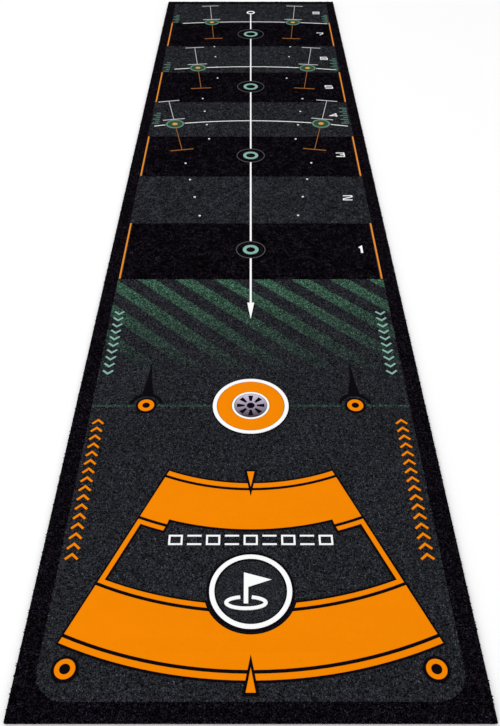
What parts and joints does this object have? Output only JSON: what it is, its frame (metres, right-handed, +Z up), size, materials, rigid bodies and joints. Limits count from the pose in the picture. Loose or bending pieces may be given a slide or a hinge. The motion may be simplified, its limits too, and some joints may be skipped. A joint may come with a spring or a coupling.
{
  "type": "practice putting mat",
  "caption": "Long flat golf putting mat: rubber-backed cut pile with banded lane, centre line, ball marks, a hole mark and a fan-shaped emblem at the near end.",
  "frame": {"origin": "centre of the underside, on the floor, midway along and across the mat", "axes": "+Z up out of the pile, +Y along the mat from the target end with the hole and emblem to the far putting end, +X to the right of someone at the target end who looks along +Y"},
  "size_m": [0.5, 2.15, 0.0062],
  "materials": {
    "backing_rubber": "matt moulded rubber with a grip pattern",
    "woven_cloth": "plain-woven backing cloth",
    "black_pile": "short cut pile, near black with a faint fleck",
    "grey_pile": "short cut pile, charcoal grey with a fleck",
    "orange_flock": "dense even flock, bright orange",
    "white_flock": "dense even flock, white",
    "mint_flock": "dense even flock, pale mint green",
    "hole_plate": "satin plate with a lavender-grey cast"
  },
  "bodies": {
    "root": {"rubber_backing": "backing_rubber", "primary_cloth": "woven_cloth", "border_near": "black_pile", "border_far": "black_pile", "border_left": "black_pile", "border_right": "black_pile", "lane_band_1": "black_pile", "lane_band_3": "black_pile", "lane_band_5": "black_pile", "lane_band_7": "black_pile", "target_field": "grey_pile", "lane_band_2": "grey_pile", "lane_band_4": "grey_pile", "lane_band_6": "grey_pile", "lane_band_8": "grey_pile", "side_stripe_left_1": "orange_flock", "side_stripe_right_1": "orange_flock", "side_stripe_left_3": "orange_flock", "side_stripe_right_3": "orange_flock", "side_stripe_left_5": "orange_flock", "side_stripe_right_5": "orange_flock", "side_stripe_left_7": "orange_flock", "side_stripe_right_7": "orange_flock", "hole_disc": "orange_flock", "side_target_left": "orange_flock", "side_target_right": "orange_flock", "corner_ring_left": "orange_flock", "corner_ring_right": "orange_flock", "emblem_far_band": "orange_flock", "emblem_near_band": "orange_flock", "emblem_frame_left": "orange_flock", "emblem_frame_right": "orange_flock", "far_stripe_left": "orange_flock", "far_stripe_right": "orange_flock", "near_stripe_left": "orange_flock", "near_stripe_right": "orange_flock", "far_pointer": "orange_flock", "near_pointer": "orange_flock", "start_spot_ring": "white_flock", "centre_line_1": "white_flock", "centre_line_2": "white_flock", "centre_line_3": "white_flock", "centre_line_4": "white_flock", "centre_line_5": "white_flock", "hole_rim": "white_flock", "hole_collar": "white_flock", "emblem_badge_ring": "white_flock", "distance_ring_1": "mint_flock", "distance_ring_3": "mint_flock", "distance_ring_5": "mint_flock", "distance_ring_7": "mint_flock", "ball_ring_left_4": "mint_flock", "ball_ring_right_4": "mint_flock", "ball_ring_left_6": "mint_flock", "ball_ring_right_6": "mint_flock", "ball_ring_left_8": "mint_flock", "ball_ring_right_8": "mint_flock", "hole_plate": "hole_plate"}
  },
  "joints": []
}
